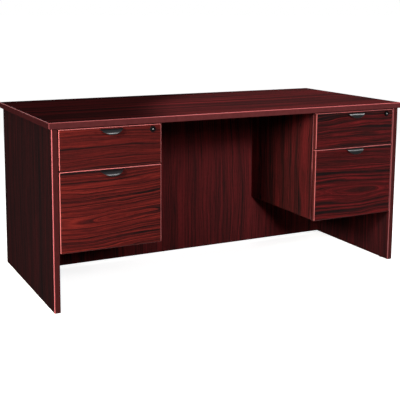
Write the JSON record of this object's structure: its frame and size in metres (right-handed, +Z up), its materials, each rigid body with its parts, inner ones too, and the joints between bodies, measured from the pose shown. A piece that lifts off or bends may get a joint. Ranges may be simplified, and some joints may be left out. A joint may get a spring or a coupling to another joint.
{
  "type": "double pedestal desk",
  "caption": "Laminate office desk with a slab top, panel ends, a set-back modesty panel and hanging pedestals of box and file drawers with half-moon pulls and key locks.",
  "frame": {"origin": "on the floor, at the middle of the desk's bounding box", "axes": "+X along the width to the right of the person sitting at it seen from the front, -Y towards that person, +Z up"},
  "size_m": [1.6764, 0.772, 0.7493],
  "materials": {
    "mahogany_laminate": "satin laminate",
    "case_board": "matt board",
    "drawer_board": "matt foil",
    "pull_black": "satin black",
    "lock_metal": "satin black",
    "slide_steel": "zinc plated",
    "bracket_steel": "zinc plated",
    "glide_plastic": "moulded"
  },
  "bodies": {
    "frame": {"desk_top": "mahogany_laminate", "left_end_panel": "mahogany_laminate", "right_end_panel": "mahogany_laminate", "modesty_panel": "mahogany_laminate", "corner_brackets": "bracket_steel", "glide_inserts": "bracket_steel", "left_pedestal_outer_side": "mahogany_laminate", "left_pedestal_inner_side": "mahogany_laminate", "left_pedestal_bottom": "mahogany_laminate", "left_pedestal_back": "case_board", "left_pedestal_rails": "case_board", "left_box_slide_fixed": "slide_steel", "left_file_slide_fixed": "slide_steel", "right_pedestal_outer_side": "mahogany_laminate", "right_pedestal_inner_side": "mahogany_laminate", "right_pedestal_bottom": "mahogany_laminate", "right_pedestal_back": "case_board", "right_pedestal_rails": "case_board", "right_box_slide_fixed": "slide_steel", "right_file_slide_fixed": "slide_steel"},
    "left_box_drawer": {"left_box_front": "mahogany_laminate", "left_box_sides": "drawer_board", "left_box_bottom": "drawer_board", "left_box_back": "drawer_board", "left_box_pull": "pull_black", "left_box_slide_moving": "slide_steel", "left_lock_housing": "lock_metal"},
    "left_box_runner": {"left_box_slide_middle": "slide_steel"},
    "left_file_drawer": {"left_file_front": "mahogany_laminate", "left_file_sides": "drawer_board", "left_file_bottom": "drawer_board", "left_file_back": "drawer_board", "left_file_pull": "pull_black", "left_file_slide_moving": "slide_steel", "left_file_hanger_rails": "bracket_steel"},
    "left_file_runner": {"left_file_slide_middle": "slide_steel"},
    "left_lock_core": {"left_lock_plug": "lock_metal", "left_lock_cam": "bracket_steel"},
    "right_box_drawer": {"right_box_front": "mahogany_laminate", "right_box_sides": "drawer_board", "right_box_bottom": "drawer_board", "right_box_back": "drawer_board", "right_box_pull": "pull_black", "right_box_slide_moving": "slide_steel", "right_lock_housing": "lock_metal"},
    "right_box_runner": {"right_box_slide_middle": "slide_steel"},
    "right_file_drawer": {"right_file_front": "mahogany_laminate", "right_file_sides": "drawer_board", "right_file_bottom": "drawer_board", "right_file_back": "drawer_board", "right_file_pull": "pull_black", "right_file_slide_moving": "slide_steel", "right_file_hanger_rails": "bracket_steel"},
    "right_file_runner": {"right_file_slide_middle": "slide_steel"},
    "right_lock_core": {"right_lock_plug": "lock_metal", "right_lock_cam": "bracket_steel"},
    "glide_left_front": {"glide_left_front": "glide_plastic"},
    "glide_left_rear": {"glide_left_rear": "glide_plastic"},
    "glide_right_front": {"glide_right_front": "glide_plastic"},
    "glide_right_rear": {"glide_right_rear": "glide_plastic"}
  },
  "joints": [
    {"name": "left_box_slide", "type": "slide", "parent": "frame", "child": "left_box_drawer", "axis": [0, -1, 0], "range_m": [0, 0.45]},
    {"name": "left_box_runner_slide", "type": "slide", "parent": "frame", "child": "left_box_runner", "axis": [0, -1, 0], "range_m": [0, 0.225]},
    {"name": "left_file_slide", "type": "slide", "parent": "frame", "child": "left_file_drawer", "axis": [0, -1, 0], "range_m": [0, 0.45]},
    {"name": "left_file_runner_slide", "type": "slide", "parent": "frame", "child": "left_file_runner", "axis": [0, -1, 0], "range_m": [0, 0.225]},
    {"name": "left_lock_turn", "type": "hinge", "parent": "left_box_drawer", "child": "left_lock_core", "pos_m": [-0.412, -0.349, 0.7009], "axis": [0, 1, 0], "range_deg": [0, 90]},
    {"name": "right_box_slide", "type": "slide", "parent": "frame", "child": "right_box_drawer", "axis": [0, -1, 0], "range_m": [0, 0.45]},
    {"name": "right_box_runner_slide", "type": "slide", "parent": "frame", "child": "right_box_runner", "axis": [0, -1, 0], "range_m": [0, 0.225]},
    {"name": "right_file_slide", "type": "slide", "parent": "frame", "child": "right_file_drawer", "axis": [0, -1, 0], "range_m": [0, 0.45]},
    {"name": "right_file_runner_slide", "type": "slide", "parent": "frame", "child": "right_file_runner", "axis": [0, -1, 0], "range_m": [0, 0.225]},
    {"name": "right_lock_turn", "type": "hinge", "parent": "right_box_drawer", "child": "right_lock_core", "pos_m": [0.7598, -0.349, 0.7009], "axis": [0, 1, 0], "range_deg": [0, 90]},
    {"name": "glide_left_front_screw", "type": "slide", "parent": "frame", "child": "glide_left_front", "axis": [0, 0, -1], "range_m": [0, 0.012]},
    {"name": "glide_left_rear_screw", "type": "slide", "parent": "frame", "child": "glide_left_rear", "axis": [0, 0, -1], "range_m": [0, 0.012]},
    {"name": "glide_right_front_screw", "type": "slide", "parent": "frame", "child": "glide_right_front", "axis": [0, 0, -1], "range_m": [0, 0.012]},
    {"name": "glide_right_rear_screw", "type": "slide", "parent": "frame", "child": "glide_right_rear", "axis": [0, 0, -1], "range_m": [0, 0.012]}
  ],
  "couplings": [
    {"joint": "left_box_runner_slide", "follows": "left_box_slide", "ratio": 0.5},
    {"joint": "left_file_runner_slide", "follows": "left_file_slide", "ratio": 0.5},
    {"joint": "right_box_runner_slide", "follows": "right_box_slide", "ratio": 0.5},
    {"joint": "right_file_runner_slide", "follows": "right_file_slide", "ratio": 0.5}
  ]
}
